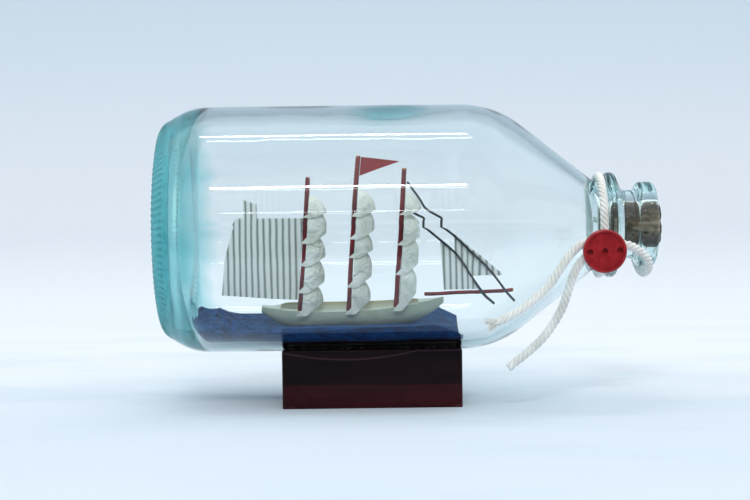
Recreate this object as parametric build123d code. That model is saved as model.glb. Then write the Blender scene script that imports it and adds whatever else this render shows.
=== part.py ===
from build123d import *

# Ship in a bottle: a flask-shaped glass bottle lies on its side, glued into the cradle of a wooden block.
# Inside it a three-masted ship with paper sails sits in a sea of modelling clay. A cork closes the neck,
# and a cotton twine is tied in the groove below the collar, with a button over the knot.
# Millimetres. +X runs from the base of the bottle to its mouth, +Z is up. The origin lies on the surface
# that the block stands on, under the middle of the bottle with its cork.

import os
from math import acos, asin, cos, pi, radians, sin, tan

# ---------------------------------------------------------------- driving dimensions
SEAT = 0.05  # clearance where one hard piece sits against another
GLUED = 0.15  # clearance where a soft or fibrous piece lies on another

# glass bottle
bottle_length = 140.0
body_radius = 35.0
wall = 2.5
shoulder_angle = 38.4  # slope of the shoulder cone
shoulder_curve = 28.0  # radius that rounds the body into the shoulder
heel_curve = 16.25  # radius of the rounded heel
heel_length = 13.0
base_rim = 4.5  # width of the flat ring round the hollow in the base
pushup_depth = 4.5
floor_thickness = 5.5  # from the base plane to the floor at its rim
floor_dome = 2.6  # rise of the floor at its middle
floor_ledge = 1.5  # flat ring of the floor between its dome and its rounded corner
floor_corner = 8.0
neck_length = 17.4  # from the foot of the shoulder to the mouth
groove_radius = 12.6
groove_width = 3.1
collar_radius = 15.0
collar_width = 2.6
collar_slope = 2.3
neck_radius = 9.9
lip_radius = 12.2
lip_width = 5.4
bore_radius = 6.6
throat_curve = 5.0  # rounds the inside of the shoulder into the bore
groove_curve = 2.0  # roundings of the outside, from the shoulder to the mouth
groove_edge = 0.5
collar_curve = 1.1
collar_edge = 1.3
neck_curve = 1.6
lip_seat = 0.6
lip_curve = 1.5
mouth_curve = 1.6
mouth_flare = 0.7

# cork
cork_length = 13.0
cork_proud = 1.4
cork_clearance = 0.05
cork_chamfer = 0.5

# wooden block and the glue
block_length = 50.6
block_width = 26.0
block_height = 16.6
block_middle = 59.0  # distance from the base of the bottle to the middle of the block
block_edge = 0.7
cradle_depth = 1.6
glue_thickness = 0.3
glue_margin = 1.5  # the glue stops short of the cradle's edges

# clay sea
sea_behind = 0.9  # from the floor of the bottle to its start
sea_beyond = 4.8  # from the stem of the ship to its end
sea_depth = 5.0  # over the lowest line of the inner wall, along the middle
sea_side_rise = 2.5  # how much higher it stands near the glass
sea_side = 20.15  # where it is that much higher, from the middle
sea_end_curve = 6.0
sea_end_shoulder = 4.0

# hull
room_behind = 0.43  # share of the room left along the bottle that is behind the ship
clay_under_keel = 3.5
hull_length = 52.0
hull_beam = 9.6
sheer_low = 5.8  # gunwale over the keel where it is lowest
stern_rise = 1.4
bow_rise = 3.4
stern_rake = 5.2
stem_rake = 7.6
transom_beam = 4.8
stem_width = 0.6
sheer_lowest = 20.8  # places along the hull, from the stern
keel_start = 10.9
keel_end = 32.0
widest_at = 19.8
bilge_height = 0.32  # of the hull's depth
bilge_width = 0.84  # of its half beam
bulwark = 0.7
deck_drop = 0.6
deck_start = 5.6  # from the stern
deck_stop = 7.3  # from the stem

# spars
mast_radius = 0.725
mast_lean = 4.1
mast_socket = 1.2
mast_stations = {"mizzen": 11.0, "main": 24.9, "fore": 38.4}  # from the stern
mast_heights = {"mizzen": 43.8, "main": 49.7, "fore": 46.0}  # over the keel
bowsprit_radius = 0.55
bowsprit_heel = 5.5  # from the stem aft to its inner end
bowsprit_length = 25.9
bowsprit_rise = 1.8  # slope in degrees
bowsprit_lift = 0.2  # over the stem

# paper sails, all heights over the keel
paper = 0.25
sail_sweep = 98.0  # how far each bellied sail wraps to either side of the bow
sail_tail = 0.9  # its lower corners reach behind the middle of the mast
sail_front = 0.34  # how high its lower edge climbs at the front, as a share of its height
sail_front_low = 0.46  # the same for the lowest sail of a mast, which clears the gunwale
sail_flat = 0.32  # how far the lower edge runs level, as a share of its belly
sail_turn = 0.25  # how softly the lower edge turns upwards, as a share of its belly
sail_back = 0.17  # above this share of its height its after edges run up along the mast
# for each mast the heights of the sails' crowns and lower corners from the top down
sail_spans = {
    "mizzen": ((38.7, 32.4), (35.9, 25.0), (28.4, 18.6), (22.0, 11.0), (14.4, 4.6)),
    "main": ((40.3, 32.6), (36.0, 26.2), (29.6, 20.9), (24.3, 12.4), (15.8, 4.8)),
    "fore": ((39.5, 32.8), (33.6, 24.3), (27.7, 15.9), (19.3, 5.6)),
}
sail_reach = {"mizzen": 6.2, "main": 6.1, "fore": 5.6}  # how far they belly

spanker_foot = (8.4, 22.0)  # height over the keel at the mast, length
spanker_height = 23.6
spanker_head = 19.4
spanker_rise = 1.6  # the foot climbs aft
spanker_leech = 1.0  # how far its after edge is curved in at half its height
peak_width = 4.0
peak_height = 5.4
peak_front = 4.05
peak_offset = 2.4
pennant_length = 11.2
pennant_height = 5.4
pennant_droop = 1.4
pennant_below = 0.4  # under the head of the mast

# thread stays, along the ship from the stern and over the keel
thread_radius = 0.34
outer_stay_route = ((43.2, 40.2), (45.4, 37.3), (47.1, 34.3), (52.0, 31.5), (51.5, 29.6), (55.3, 26.5))
outer_stay_route += ((62.1, 20.3), (66.8, 14.9), (70.3, 10.2), (72.9, 7.4))
inner_stay_route = ((44.9, 32.5), (46.9, 31.6), (46.3, 29.6), (51.2, 25.5), (56.2, 21.1), (61.8, 13.4))
inner_stay_route += ((64.4, 9.0), (66.5, 6.9))
stay_tops = {"outer": 41.9, "inner": 34.2}  # where they leave the fore mast
jib_drop = 0.6  # the jibs' long edges lie this far above the thread
stay_rounding = 0.35  # of the shorter run at each bend
inner_jib = (51.2, 52.1, 62.6, 11.1)  # luff top, luff foot, tail along the ship, and foot height
outer_jib = (55.4, 55.4, 69.0, 14.9)
jib_tip = 0.7  # height of a jib's blunt fore end

# twine, knot and button; the routes are measured from the middle of the twine ring
twine_radius = 1.25
knot_radius = 3.2
knot_thickness = 5.8
knot_curve = 1.9
knot_drop = 6.0  # below the axis of the bottle
knot_shift = -1.05  # along the bottle, from the ring
button_radius = 6.0
button_thickness = 2.0
button_edge = 0.5
button_rim = 0.9
button_dish = 0.4
button_hole_radius = 0.85
button_hole_pitch = 4.1
button_hole_depth = 1.1
button_turn = 3.0
front_tail_route = (
    (-1.6, -17.4, -3.2),
    (-6.3, -18.3, -3.5),
    (-10.0, -20.8, -6.1),
    (-13.6, -22.2, -10.8),
    (-16.5, -22.3, -15.4),
    (-20.9, -23.7, -19.0),
    (-26.0, -25.6, -22.3),
    (-31.2, -25.9, -24.9),
    (-34.6, -26.4, -25.2),
)
hanging_tail_route = (
    (-2.4, -17.4, -5.6),
    (-6.2, -18.4, -7.6),
    (-9.0, -19.0, -11.4),
    (-10.6, -18.9, -16.2),
    (-12.3, -18.5, -21.8),
    (-14.5, -18.2, -25.6),
    (-17.0, -18.0, -29.4),
    (-20.6, -17.8, -33.0),
    (-25.0, -17.8, -36.4),
    (-27.8, -17.9, -38.7),
)
lip_strand_route = (
    (0.0, -17.3, -4.4),
    (5.2, -16.3, -4.4),
    (8.3, -14.3, -5.6),
    (10.9, -12.3, -7.4),
    (12.7, -10.4, -9.2),
    (13.4, -7.5, -11.8),
    (13.1, -3.7, -13.5),
    (12.7, 1.5, -14.1),
    (12.3, 6.9, -12.4),
    (11.7, 11.3, -8.6),
    (10.0, 14.0, -4.4),
    (6.6, 15.7, -0.6),
    (3.1, 17.2, 1.9),
    (-0.2, 17.0, 4.4),
)

# ---------------------------------------------------------------- places worked out from them
base_x = -(bottle_length + cork_proud) / 2
axis_z = block_height - cradle_depth + body_radius
shoulder_foot = bottle_length - neck_length
inner_radius = body_radius - wall
floor_rim = inner_radius - floor_corner - floor_ledge
heel_foot = body_radius - heel_curve + (heel_curve**2 - heel_length**2) ** 0.5
pushup_radius = heel_foot - base_rim
cork_radius = bore_radius - cork_clearance
ring_x = base_x + shoulder_foot + groove_width / 2
ring_radius = groove_radius + twine_radius + SEAT
keel_z = axis_z - inner_radius + clay_under_keel
stay_side = -(bowsprit_radius + thread_radius + SEAT)  # the stays pass the bowsprit on this side
bottle_axis = Axis((0, 0, axis_z), (1, 0, 0))
upwards = (Align.CENTER, Align.CENTER, Align.MIN)

os.makedirs("parts", exist_ok=True)


def save(name, solid):
    """Write one piece to its own STEP file."""
    solid.label = name
    export_step(solid, f"parts/{name}.step")


def rounded_face(corners):
    """A face in the XZ plane from (x, z, radius) corners, each rounded by its own radius."""
    radii = [rounding for _, _, rounding in corners]
    return Plane.XZ * make_face(FilletPolyline(*[(x, z) for x, z, _ in corners], radius=radii, close=True))


def turned(corners):
    """A solid of revolution about the bottle's axis, from (station, radius, rounding) corners."""
    face = rounded_face([(base_x + x, axis_z + r, rounding) for x, r, rounding in corners])
    return revolve(face, bottle_axis)


def cone_station(radius, inset=0.0):
    """Where the shoulder cone, moved inwards by inset, has this radius."""
    slope = tan(radians(shoulder_angle))
    shift = inset / cos(radians(shoulder_angle))
    return shoulder_foot + (groove_radius - radius - shift) / slope


# ---------------------------------------------------------------- bottle
def section(*runs):
    """A face in the XZ plane of the bottle's axis, from runs of edges drawn as (station, radius)."""
    edges = [edge for run in runs for edge in run.edges()]
    return Pos(base_x, 0, axis_z) * (Plane.XZ * make_face(Wire(edges)))


def outline(corners):
    """An open line through (station, radius, rounding) corners; the first and last are not rounded."""
    return FilletPolyline(*[(x, r) for x, r, _ in corners], radius=[c for _, _, c in corners[1:-1]])


def dished(station, width, depth):
    """The arc of a shallow bowl round the axis, from its rim to its middle, depth further on."""
    radius = (width**2 + depth**2) / (2 * depth)
    half = asin(width / radius) / 2
    middle = (station + depth - radius + radius * cos(half), radius * sin(half))
    return ThreePointArc((station, width), middle, (station + depth, 0))


def cavity_face(inset=0.0):
    """Half the room inside the bottle, out through the mouth, inset from the glass by a clearance."""
    body = inner_radius - inset
    bore = bore_radius - inset
    floor = floor_thickness + inset
    out = bottle_length + mouth_flare
    walls = outline(
        [
            (floor, floor_rim, 0),
            (floor, body, floor_corner - inset),
            (cone_station(body, wall + inset), body, shoulder_curve - wall),
            (cone_station(bore, wall + inset), bore, throat_curve),
            (bottle_length - mouth_flare, bore, mouth_flare),
            (out, bore + 2 * mouth_flare, 0),
            (out, 0, 0),
        ]
    )
    return section(walls, Line((out, 0), (floor + floor_dome, 0)), dished(floor, floor_rim, floor_dome))


def cavity(inset=0.0):
    """The room inside the bottle as a solid."""
    return revolve(cavity_face(inset), bottle_axis)


def bottle():
    """The glass: heel, body, shoulder, groove, collar, neck and lip outside, push-up and cavity cut out."""
    collar = shoulder_foot + groove_width
    neck = collar + collar_width + collar_slope
    lip = bottle_length - lip_width
    turn = (pi - acos(heel_length / heel_curve) + pi / 2) / 2
    middle = (heel_length + heel_curve * cos(turn), body_radius - heel_curve + heel_curve * sin(turn))
    outside = outline(
        [
            (heel_length, body_radius, 0),
            (cone_station(body_radius), body_radius, shoulder_curve),
            (shoulder_foot, groove_radius, groove_curve),
            (collar, groove_radius, groove_edge),
            (collar, collar_radius, collar_curve),
            (collar + collar_width, collar_radius, collar_edge),
            (neck, neck_radius, neck_curve),
            (lip, neck_radius, lip_seat),
            (lip, lip_radius, lip_curve),
            (bottle_length, lip_radius, mouth_curve),
            (bottle_length, 0, 0),
        ]
    )
    heel = ThreePointArc((0, heel_foot), middle, (heel_length, body_radius))
    whole = section(outside, Line((bottle_length, 0), (0, 0)), Line((0, 0), (0, heel_foot)), heel)
    pushup = dished(0, pushup_radius, pushup_depth)
    hollow = section(pushup, Line((pushup_depth, 0), (0, 0)), Line((0, 0), (0, pushup_radius)))
    return revolve(whole - hollow - cavity_face(), bottle_axis)


def cork():
    """A plug in the bore, standing a little proud of the mouth."""
    end = bottle_length + cork_proud
    start = end - cork_length
    plug = turned([(start, 0, 0), (start, cork_radius, 0), (end, cork_radius, 0), (end, 0, 0)])
    return chamfer(plug.edges().filter_by(GeomType.CIRCLE), cork_chamfer)


# ---------------------------------------------------------------- block and glue
block_x = base_x + block_middle
cradle_radius = body_radius + glue_thickness
cradle_half = (cradle_radius**2 - (axis_z - block_height) ** 2) ** 0.5


def tube_along(radius, length, x):
    """A cylinder on the bottle's axis, centred at x."""
    return Pos(x, 0, axis_z) * Rot(0, 90, 0) * Cylinder(radius, length)


def block():
    """The block with the cradle that the bottle lies in, its edges softened."""
    body = Pos(block_x, 0, block_height / 2) * Box(block_length, block_width, block_height)
    body = fillet(body.edges().filter_by(lambda e: e.center().Z > 0.1), block_edge)
    return body - tube_along(cradle_radius, block_length + 2, block_x)


def glue():
    """The bed of glue between the glass and the cradle."""
    length = block_length - 2 * glue_margin
    bed = tube_along(cradle_radius - SEAT, length, block_x)
    bed -= tube_along(body_radius + SEAT, length + 1, block_x)
    width = 2 * (cradle_half - glue_margin)
    return bed & Pos(block_x, 0, block_height - cradle_depth) * Box(length, width, 2 * cradle_depth)


# ---------------------------------------------------------------- ship
def sheer(s):
    """Height of the gunwale over the keel at s from the stern."""
    if s < sheer_lowest:
        return sheer_low + stern_rise * ((sheer_lowest - s) / sheer_lowest) ** 2
    return sheer_low + bow_rise * ((s - sheer_lowest) / (hull_length - sheer_lowest)) ** 2


def rocker(s):
    """Height of the hull's lowest line over the keel at s from the stern."""
    if s < keel_start:
        return stern_rake * ((keel_start - s) / keel_start) ** 1.5
    if s > keel_end:
        return stem_rake * ((s - keel_end) / (hull_length - keel_end)) ** 2.5
    return 0.0


def half_beam(s):
    """Half the width of the hull at the gunwale at s from the stern."""
    if s < widest_at:
        return hull_beam / 2 - (hull_beam - transom_beam) / 2 * ((widest_at - s) / widest_at) ** 2.2
    share = ((s - widest_at) / (hull_length - widest_at)) ** 2.8
    return hull_beam / 2 * (1 - share) + stem_width / 2 * share


hull_sections = [share * hull_length for share in (0, 0.07, 0.21, 0.4, 0.615, 0.78, 0.91, 1)]

# the ship lies between the floor and the shoulder, from the end of its spanker to the tip of its bowsprit
bowsprit_slope = radians(bowsprit_rise)
bowsprit_height = sheer(hull_length) + bowsprit_radius + bowsprit_lift - bowsprit_heel * tan(bowsprit_slope)
tip_height = bowsprit_height + bowsprit_length * sin(bowsprit_slope)
tip = hull_length - bowsprit_heel + bowsprit_length
aft = spanker_foot[1] - mast_stations["mizzen"]
room_start = floor_thickness + floor_dome
room = cone_station(axis_z - keel_z - tip_height, wall) - room_start - tip - aft
ship_x = base_x + room_start + room_behind * room + aft


def ribbed(sections, rib):
    """A loft through rib(s), a closed wire of (y, z) given for each section at s from the stern."""
    faces = []
    for s in sections:
        plane = Plane((ship_x + s, 0, keel_z), x_dir=(0, 1, 0), z_dir=(1, 0, 0))
        faces.append(plane * make_face(rib(s)))
    return loft(faces)


def hull_form(grow=0.0):
    """The solid hull, grown outwards by a clearance."""

    def rib(s):
        side, top, low = half_beam(s) + grow, sheer(s), rocker(s) - grow
        out, bilge = bilge_width * side, low + bilge_height * (top - low)
        curve = Spline((-side, top), (-out, bilge), (0, low), (out, bilge), (side, top))
        return Wire([curve, Line((side, top), (-side, top))])

    return ribbed(hull_sections, rib)


def hull():
    """The hull with its sunken deck inside the bulwarks, the mast sockets and the bowsprit's seat."""

    def well(s):
        side, low = half_beam(s) - bulwark, sheer(s) - deck_drop
        top = low + 2 * deck_drop
        return Polyline((-side, low), (side, low), (side, top), (-side, top), close=True)

    deck_end = hull_length - deck_stop
    between = [s for s in hull_sections if deck_start < s < deck_end]
    body = hull_form() - ribbed([deck_start, *between, deck_end], well)
    for name in mast_stations:
        body -= mast(name, SEAT)
    return body - bowsprit(SEAT)


def at_mast(name, height):
    """The plane across a mast at this height over the keel, its normal along the mast and x to the bow."""
    run = (height - sheer(mast_stations[name])) * tan(radians(mast_lean))
    lean = radians(mast_lean)
    origin = (ship_x + mast_stations[name] + run, 0, keel_z + height)
    return Plane(origin, x_dir=(cos(lean), 0, -sin(lean)), z_dir=(sin(lean), 0, cos(lean)))


def mast(name, grow=0.0):
    """A mast, from its socket in the deck up."""
    foot = sheer(mast_stations[name]) - deck_drop - mast_socket
    length = (mast_heights[name] - foot) / cos(radians(mast_lean))
    return at_mast(name, foot - grow) * Cylinder(mast_radius + grow, length + grow, align=upwards)


def bowsprit(grow=0.0):
    """The spar over the bow."""
    start = (ship_x + hull_length - bowsprit_heel, 0, keel_z + bowsprit_height)
    plane = Plane(start, x_dir=(0, 1, 0), z_dir=(cos(bowsprit_slope), 0, sin(bowsprit_slope)))
    return plane * Cylinder(bowsprit_radius + grow, bowsprit_length, align=upwards)


def bellied_sail(name, top, foot, reach, front):
    """A sheet of paper blown towards the bow: half a thimble round the mast, glued to it at the crown.

    Seen from the side its lower edge climbs from two pointed corners behind the mast to the front."""
    height = (top - foot) / cos(radians(mast_lean))
    hole = mast_radius + SEAT
    crown = asin(hole / reach)
    skirt = max(height - reach, paper)

    def spot(radius, angle):
        return (radius * sin(angle), skirt + radius * cos(angle))

    def arc(radius, start, end):
        return ThreePointArc(spot(radius, start), spot(radius, (start + end) / 2), spot(radius, end))

    inner = reach - paper
    over = arc(reach, crown, pi / 2) + Line((reach, skirt), (reach, 0)) + Line((reach, 0), (inner, 0))
    under = Line((inner, 0), (inner, skirt)) + arc(inner, pi / 2, crown)
    close = Line(spot(inner, crown), spot(reach, crown))
    shell = revolve(Plane.XZ * make_face(Wire((over + under + close).edges())), Axis.Z, 2 * sail_sweep)
    shell = Rot(0, 0, -sail_sweep) * shell
    side = [
        (-sail_tail, 0, 0),
        (sail_flat * reach, 0, sail_turn * reach),
        (reach + 1, front * height, 0),
        (reach + 1, height + 1, 0),
        (hole, height + 1, 0),
        (hole, sail_back * height, 0),
    ]
    kept = extrude(rounded_face(side), reach + 1, both=True)
    return at_mast(name, foot) * (shell & kept)


def sails():
    """Every bellied sail, named from the top of its mast down."""
    made = {}
    for name, spans in sail_spans.items():
        for number, (top, foot) in enumerate(spans, 1):
            front = sail_front_low if number == len(spans) else sail_front
            made[f"{name}_sail_{number}"] = bellied_sail(name, top, foot, sail_reach[name], front)
    return made


def sheet(points, side=0.0):
    """A flat sheet of paper along the ship, through (along, height) points, centred at y = side."""
    edge = Polyline(*[(ship_x + s, keel_z + h) for s, h in points], close=True)
    return Pos(0, side, 0) * extrude(Plane.XZ * make_face(edge), paper / 2, both=True)


def mast_edge(name, height, side):
    """Along the ship, the edge of a mast at this height: side 1 is the bow's, -1 the stern's."""
    run = (height - sheer(mast_stations[name])) * tan(radians(mast_lean))
    return mast_stations[name] + run + side * (mast_radius / cos(radians(mast_lean)) + SEAT)


def spanker():
    """The striped sail behind the mizzen mast, with its small peak."""
    low, length = spanker_foot
    high = low + spanker_height
    aft = mast_edge("mizzen", low, -1) - length
    head = mast_edge("mizzen", high, -1) - spanker_head
    return sheet(
        [
            (mast_edge("mizzen", low, -1), low),
            (mast_edge("mizzen", high, -1), high),
            (head + peak_offset + peak_width, high),
            (head + peak_offset + peak_width, high + peak_front),
            (head + peak_offset, high + peak_height),
            (head + peak_offset, high),
            (head, high),
            (aft + spanker_leech, (low + high) / 2),
            (aft, low + spanker_rise),
        ]
    )


def pennant():
    """The pointed flag at the head of the main mast."""
    high = mast_heights["main"] - pennant_below
    low = high - pennant_height
    hoist = mast_edge("main", high, 1)
    fly = (hoist + pennant_length, high - pennant_droop)
    return sheet([(hoist, high), fly, (mast_edge("main", low, 1), low)])


def stay(route, top):
    """A thread from the fore mast down past the bowsprit."""
    start = (mast_edge("fore", top, 1) + thread_radius, 0, top)
    points = [start] + [(s, stay_side, h) for s, h in route]
    return rope([(ship_x + s, y, keel_z + h) for s, y, h in points], thread_radius, stay_rounding)


def height_on(route, along):
    """The height of a stay where it is this far along the ship, ignoring its kinks."""
    for (s, h), (t, g) in zip(route, route[1:]):
        if s <= along <= t:
            return h + (g - h) * (along - s) / (t - s)
    return route[-1][1]


def jib(route, layer, luff_top, luff_foot, tail, foot):
    """A striped three-cornered sail, glued behind its stay, the outer one a layer behind the inner."""
    side = stay_side + thread_radius + paper / 2 + SEAT + layer * (paper + SEAT)
    top = (luff_top, height_on(route, luff_top) + jib_drop)
    return sheet([top, (luff_foot, foot), (tail, foot), (tail, foot + jib_tip)], side)


def sea():
    """The clay: it fills the bottom of the bottle, hollowed along the middle, and beds the hull."""
    low = axis_z - inner_radius
    start = base_x + floor_thickness + sea_behind
    end = ship_x + hull_length + sea_beyond
    top = low + sea_depth
    high = top + sea_side_rise
    hollow = ThreePointArc((-sea_side, high), (0, top), (sea_side, high))
    walls = Polyline((sea_side, high), (sea_side, low - 1), (-sea_side, low - 1), (-sea_side, high))
    plane = Plane((start, 0, 0), x_dir=(0, 1, 0), z_dir=(1, 0, 0))
    fill = extrude(plane * make_face(Wire(hollow.edges() + walls.edges())), end - start)
    side = [
        (start, low - 1, 0),
        (end, low - 1, 0),
        (end, top + 1, sea_end_curve - 1),
        (end - sea_end_curve, high + 1, sea_end_shoulder),
        (start, high + 1, 0),
    ]
    fill &= extrude(rounded_face(side), body_radius, both=True)
    return (fill & cavity(SEAT)) - hull_form(SEAT)


# ---------------------------------------------------------------- twine and button
def rope(points, radius, share=0.45):
    """A round cord along straight runs joined by tangent arcs, each as large as its two runs allow."""
    route = [Vector(*p) for p in points]
    radii = []
    for a, b, c in zip(route, route[1:], route[2:]):
        turn = (b - a).get_angle(c - b)
        radii.append(share * min((b - a).length, (c - b).length) / tan(radians(turn / 2)))
    path = FilletPolyline(*points, radius=radii)
    start = Plane(path @ 0, z_dir=path % 0)
    cord = sweep(start * Circle(radius), path)
    drift = cord.volume / (pi * radius**2 * path.length) - 1
    bends = [round(r, 1) for r in radii]
    print("cord length", round(path.length, 1), "radii", bends, "volume off", round(drift, 5))
    return cord


def by_ring(route):
    """A route given from the middle of the twine ring, in the bottle's frame."""
    return [(ring_x + x, y, axis_z + z) for x, y, z in route]


knot_out = ring_radius + twine_radius + GLUED + knot_thickness / 2
knot_front = -((knot_out**2 - knot_drop**2) ** 0.5)
knot_middle = (ring_x + knot_shift, knot_front, axis_z - knot_drop)
knot_place = Plane(knot_middle, z_dir=(0, knot_front / knot_out, -knot_drop / knot_out))


def ring():
    """The twine round the groove."""
    return Pos(ring_x, 0, axis_z) * Rot(0, 90, 0) * Torus(ring_radius, twine_radius)


def knot():
    """The knot, a rounded lump on the ring."""
    lump = Cylinder(knot_radius, knot_thickness)
    return knot_place * fillet(lump.edges().filter_by(GeomType.CIRCLE), knot_curve)


def button():
    """A round button with a raised rim and three blind holes in a row, facing forwards."""
    slant = asin(knot_drop / knot_out)
    flat, side = knot_radius - knot_curve, knot_thickness / 2 - knot_curve
    reach = flat * sin(slant) + side * cos(slant) + knot_curve
    place = (ring_x + knot_shift, knot_front - reach - SEAT, axis_z - knot_drop)
    back = Plane(place, x_dir=(1, 0, 0), z_dir=(0, -1, 0))
    lift = button_thickness / 2
    disc = Pos(0, 0, lift) * Cylinder(button_radius, button_thickness)
    disc = fillet(disc.edges().filter_by(GeomType.CIRCLE), button_edge)
    disc -= Pos(0, 0, button_thickness) * Cylinder(button_radius - button_rim, 2 * button_dish)
    for number in (-1, 0, 1):
        hole = Cylinder(button_hole_radius, 2 * button_hole_depth)
        disc -= Pos(number * button_hole_pitch, 0, button_thickness - button_dish) * hole
    return back * Rot(0, 0, button_turn) * disc


# ---------------------------------------------------------------- build
the_knot = knot()
pieces = {
    "glass_bottle": bottle(),
    "cork_stopper": cork(),
    "cradle_block": block(),
    "cradle_glue": glue(),
    "clay_sea": sea(),
    "ship_hull": hull(),
    "mizzen_mast": mast("mizzen"),
    "main_mast": mast("main"),
    "fore_mast": mast("fore"),
    "bowsprit": bowsprit(),
    "spanker_sail": spanker(),
    "pennant": pennant(),
    "outer_stay": stay(outer_stay_route, stay_tops["outer"]),
    "inner_stay": stay(inner_stay_route, stay_tops["inner"]),
    "outer_jib": jib(outer_stay_route, 1, *outer_jib),
    "inner_jib": jib(inner_stay_route, 0, *inner_jib),
    "twine_ring": ring(),
    "twine_knot": the_knot,
    "twine_front_tail": rope(by_ring(front_tail_route), twine_radius) - the_knot,
    "twine_hanging_tail": rope(by_ring(hanging_tail_route), twine_radius) - the_knot,
    "twine_lip_strand": rope(by_ring(lip_strand_route), twine_radius) - the_knot,
    "red_button": button(),
    **sails(),
}
for piece_name, piece in pieces.items():
    save(piece_name, piece)
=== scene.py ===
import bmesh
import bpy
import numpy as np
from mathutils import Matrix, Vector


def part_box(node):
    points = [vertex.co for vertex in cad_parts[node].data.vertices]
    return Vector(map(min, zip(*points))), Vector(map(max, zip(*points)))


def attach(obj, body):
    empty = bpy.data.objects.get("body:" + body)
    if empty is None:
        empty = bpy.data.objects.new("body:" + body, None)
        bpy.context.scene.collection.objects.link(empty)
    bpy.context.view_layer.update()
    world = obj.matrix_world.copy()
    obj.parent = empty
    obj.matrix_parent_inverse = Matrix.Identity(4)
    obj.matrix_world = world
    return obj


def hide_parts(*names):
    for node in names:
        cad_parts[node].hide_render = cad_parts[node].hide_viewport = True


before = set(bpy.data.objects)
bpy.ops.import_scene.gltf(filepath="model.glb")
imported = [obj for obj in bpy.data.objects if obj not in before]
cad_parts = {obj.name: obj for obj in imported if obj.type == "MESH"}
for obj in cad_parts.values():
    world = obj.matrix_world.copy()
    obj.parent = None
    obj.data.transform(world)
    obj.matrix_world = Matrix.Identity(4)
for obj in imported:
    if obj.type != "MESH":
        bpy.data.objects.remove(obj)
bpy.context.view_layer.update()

# Ship in a bottle. Everything stands in metres in the frame of the CAD model: +X runs from the
# base of the bottle to its mouth, +Z is up and the camera looks along +Y. Shapes worked out in
# millimetres are turned into metres by mm. The sections follow the order in which the souvenir is
# put together: block, glue, bottle, clay, hull, spars, sails, rigging, twine, button, cork.

mm = 0.001

# ------------------------------------------------------------------ table, room and camera
# A pale sweep of paper that lies on the table and climbs behind the bottle, in soft light from
# above with a darker room in front. Three narrow tube lights draw the long bright lines on the
# glass.


def tint(red, green, blue):
    """A colour from a paint chart, 0 to 255 in each channel, as light: a share c of up to 0.04045
    is divided by 12.92, and a larger one becomes (c + 0.055) / 1.055 to the power 2.4."""
    share = np.array([red, green, blue]) / 255
    light = np.where(share <= 0.04045, share / 12.92, ((share + 0.055) / 1.055) ** 2.4)
    return (*light.tolist(), 1.0)


class Field:
    """A value that varies over a surface. Arithmetic on it adds Math nodes to its tree."""

    def __init__(self, nodes, socket):
        self.nodes, self.socket = nodes, socket

    def math(self, operation, *values):
        return self.nodes.node("ShaderNodeMath", dict(enumerate(values)), operation=operation)

    def __add__(self, other):
        return self.math("ADD", self, other)

    def __radd__(self, other):
        return self.math("ADD", other, self)

    def __sub__(self, other):
        return self.math("SUBTRACT", self, other)

    def __rsub__(self, other):
        return self.math("SUBTRACT", other, self)

    def __mul__(self, other):
        return self.math("MULTIPLY", self, other)

    def __rmul__(self, other):
        return self.math("MULTIPLY", other, self)

    def __truediv__(self, other):
        return self.math("DIVIDE", self, other)

    def __pow__(self, other):
        return self.math("POWER", self, other)

    def part(self):
        return self.math("FRACT", self)

    def size(self):
        return self.math("ABSOLUTE", self)

    def most(self, other):
        return self.math("MAXIMUM", self, other)

    def between(self, low, high):
        """0 below low, 1 above high and smooth between; the other way round where high is lower."""
        first, last = (0.0, 1.0) if low < high else (1.0, 0.0)
        values = {"Value": self, "From Min": min(low, high), "From Max": max(low, high)}
        values |= {"To Min": first, "To Max": last}
        return self.nodes.node("ShaderNodeMapRange", values, interpolation_type="SMOOTHSTEP")


class Nodes:
    """A tree of shader nodes, built by Python expressions."""

    def __init__(self, tree):
        self.tree = tree

    def node(self, kind, sockets=None, out=0, **settings):
        """A node with these settings and these values or links in its sockets; gives one output."""
        made = self.tree.nodes.new(kind)
        for key, value in settings.items():
            setattr(made, key, value)
        for key, value in (sockets or {}).items():
            found = self.named(made.inputs, key)
            if isinstance(value, Field):
                self.tree.links.new(value.socket, found)
            else:
                found.default_value = value
        return Field(self, self.named(made.outputs, out))

    def named(self, sockets, key):
        """One socket, by its place or by its name."""
        if isinstance(key, int):
            return sockets[key]
        return next(socket for socket in sockets if key in (socket.identifier, socket.name))

    def mixed(self, share, first, second):
        """A colour that goes from the first to the second as share goes from 0 to 1."""
        values = {"Factor_Float": share, "A_Color": first, "B_Color": second}
        return self.node("ShaderNodeMix", values, "Result_Color", data_type="RGBA")


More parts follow.
